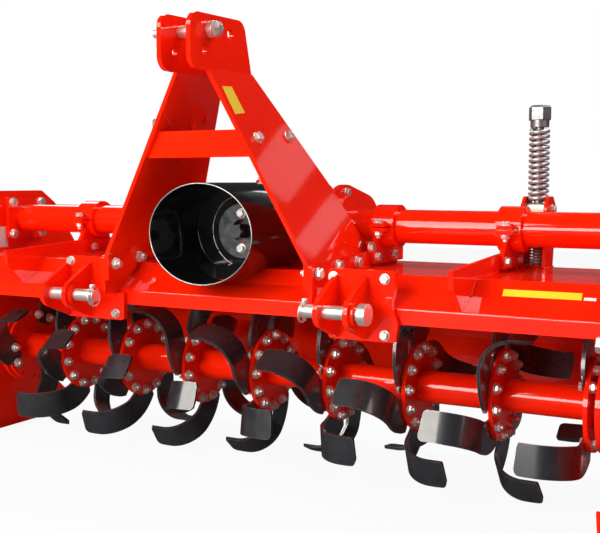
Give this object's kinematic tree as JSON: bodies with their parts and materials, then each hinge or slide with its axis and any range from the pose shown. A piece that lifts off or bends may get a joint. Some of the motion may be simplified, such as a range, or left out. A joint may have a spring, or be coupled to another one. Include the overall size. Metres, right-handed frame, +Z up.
{
  "type": "tractor rotary tiller",
  "caption": "Tractor-mounted rotary tiller: three-point mast over a folded deck, gearbox and cross tube, bladed rotor and sprung tailboard.",
  "frame": {"origin": "middle of the machine's box, on the floor under the skids' soles", "axes": "+X across the working width towards the drive case, -Y towards the tractor, +Z up"},
  "size_m": [2.118, 0.853, 1.2114],
  "materials": {
    "orange_paint": "glossy orange-red powder coat",
    "black_shield": "gloss black",
    "blade_steel": "satin dark grey with bare edges",
    "zinc_plate": "zinc plated",
    "bare_steel": "bright steel",
    "spring_steel": "plated spring wire"
  },
  "bodies": {
    "frame": {"deck": "orange_paint", "side_plate_right": "orange_paint", "side_plate_left": "orange_paint", "gearbox": "orange_paint", "cross_tube_right": "orange_paint", "cross_tube_left": "orange_paint", "side_drive_case": "orange_paint", "bearing_hub": "orange_paint", "pto_shield": "black_shield", "mast_plate_right": "orange_paint", "mast_plate_left": "orange_paint", "mast_brace": "orange_paint", "top_link_pin": "zinc_plate", "support_plate_right": "orange_paint", "support_plate_left": "orange_paint", "hitch_bracket_right": "orange_paint", "hitch_bracket_left": "orange_paint", "lower_pin_right": "zinc_plate", "lower_pin_left": "zinc_plate", "inner_tube_clamp_right": "orange_paint", "inner_tube_clamp_left": "orange_paint", "outer_tube_clamp_right": "orange_paint", "outer_tube_clamp_left": "orange_paint", "deck_gusset_right": "orange_paint", "deck_gusset_left": "orange_paint", "rod_bracket_right": "orange_paint", "rod_bracket_left": "orange_paint", "guide_block_right": "zinc_plate", "guide_block_left": "zinc_plate", "upper_spring_right": "spring_steel", "upper_spring_left": "spring_steel", "lower_spring_right": "spring_steel", "lower_spring_left": "spring_steel", "hinge_rod": "bare_steel", "skid_right": "orange_paint", "skid_left": "orange_paint"},
    "rotor": {"rotor_tube": "orange_paint", "blades_1": "blade_steel", "blades_2": "blade_steel", "blades_3": "blade_steel", "blades_4": "blade_steel", "blades_5": "blade_steel", "blades_6": "blade_steel", "blades_7": "blade_steel", "blades_8": "blade_steel", "blades_9": "blade_steel"},
    "input_shaft": {"input_shaft": "bare_steel"},
    "tailboard": {"tailboard": "orange_paint"},
    "spring_rod_right": {"spring_rod_right": "bare_steel"},
    "spring_rod_left": {"spring_rod_left": "bare_steel"}
  },
  "joints": [
    {"name": "rotor_spin", "type": "hinge", "parent": "frame", "child": "rotor", "pos_m": [0, 0.0225, 0.275], "axis": [1, 0, 0], "continuous": true},
    {"name": "input_shaft_spin", "type": "hinge", "parent": "frame", "child": "input_shaft", "pos_m": [0, -0.1085, 0.675], "axis": [0, 1, 0], "continuous": true},
    {"name": "tailboard_hinge", "type": "hinge", "parent": "frame", "child": "tailboard", "pos_m": [0, 0.3345, 0.52], "axis": [1, 0, 0], "range_deg": [0, 18]},
    {"name": "spring_rod_right_slide", "type": "slide", "parent": "frame", "child": "spring_rod_right", "axis": [0, 0, 1], "range_m": [-0.046, 0], "deforming": ["upper_spring_right", "lower_spring_right"]},
    {"name": "spring_rod_left_slide", "type": "slide", "parent": "frame", "child": "spring_rod_left", "axis": [0, 0, 1], "range_m": [-0.046, 0], "deforming": ["upper_spring_left", "lower_spring_left"]}
  ],
  "couplings": [
    {"joint": "input_shaft_spin", "follows": "rotor_spin", "ratio": 2.46},
    {"joint": "spring_rod_right_slide", "follows": "tailboard_hinge", "m_per_rad": -0.1452},
    {"joint": "spring_rod_left_slide", "follows": "tailboard_hinge", "m_per_rad": -0.1452}
  ]
}
